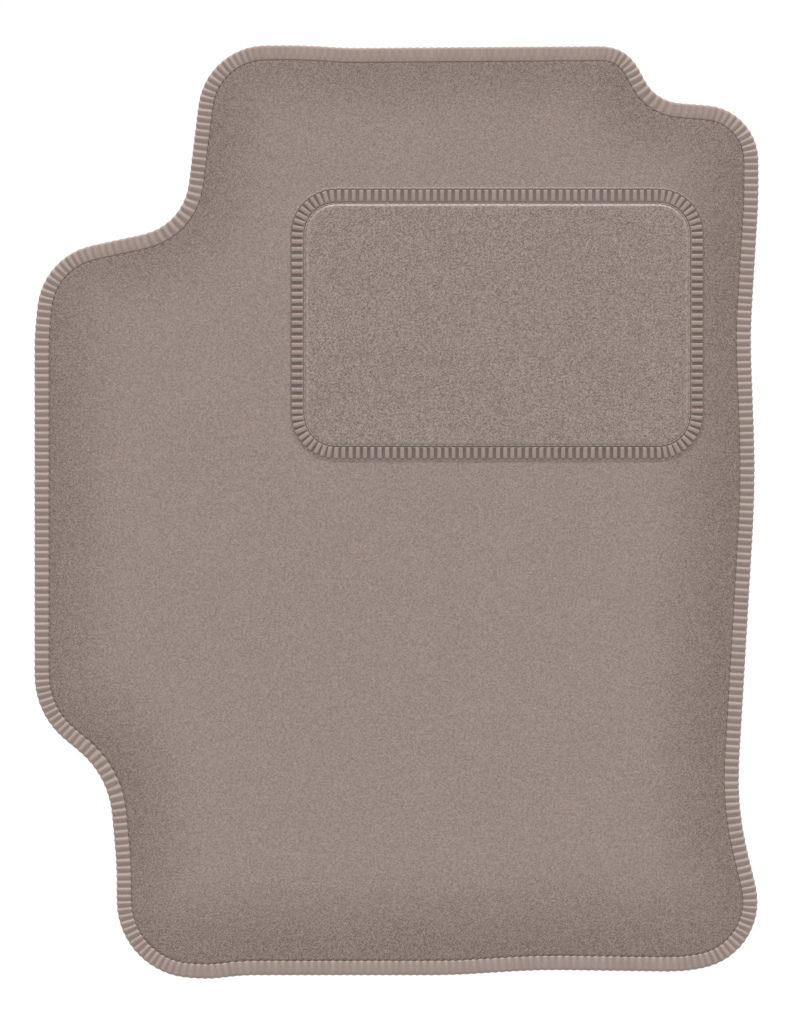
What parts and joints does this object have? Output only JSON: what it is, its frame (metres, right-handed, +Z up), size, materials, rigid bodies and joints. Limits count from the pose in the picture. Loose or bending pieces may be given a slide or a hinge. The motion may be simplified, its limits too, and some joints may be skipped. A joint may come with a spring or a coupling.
{
  "type": "car floor mat",
  "caption": "Driver's floor mat of velour carpet with an overlocked edge, a sewn-on heel pad and an anti-slip backing.",
  "frame": {"origin": "on the floor under the middle of the mat's box", "axes": "+Y forward, to the pedals; +X to the right across the car; +Z up, out of the pile"},
  "size_m": [0.528, 0.681, 0.0088],
  "materials": {
    "velour": "matte",
    "heel_pad_velour": "matte",
    "overlock_yarn": "matte",
    "thread": "matte",
    "base_cloth": "matte",
    "latex": "matte",
    "backing_rubber": "matte"
  },
  "bodies": {
    "root": {"anti_slip_backing": "backing_rubber", "latex_bond_coat": "latex", "tufting_base_cloth": "base_cloth", "velour_carpet": "velour", "edge_overlock_yarn": "overlock_yarn", "edge_needle_thread": "thread", "heel_pad_backing": "latex", "heel_pad_velour": "heel_pad_velour", "heel_pad_overlock_yarn": "overlock_yarn", "heel_pad_needle_thread": "thread"}
  },
  "joints": []
}
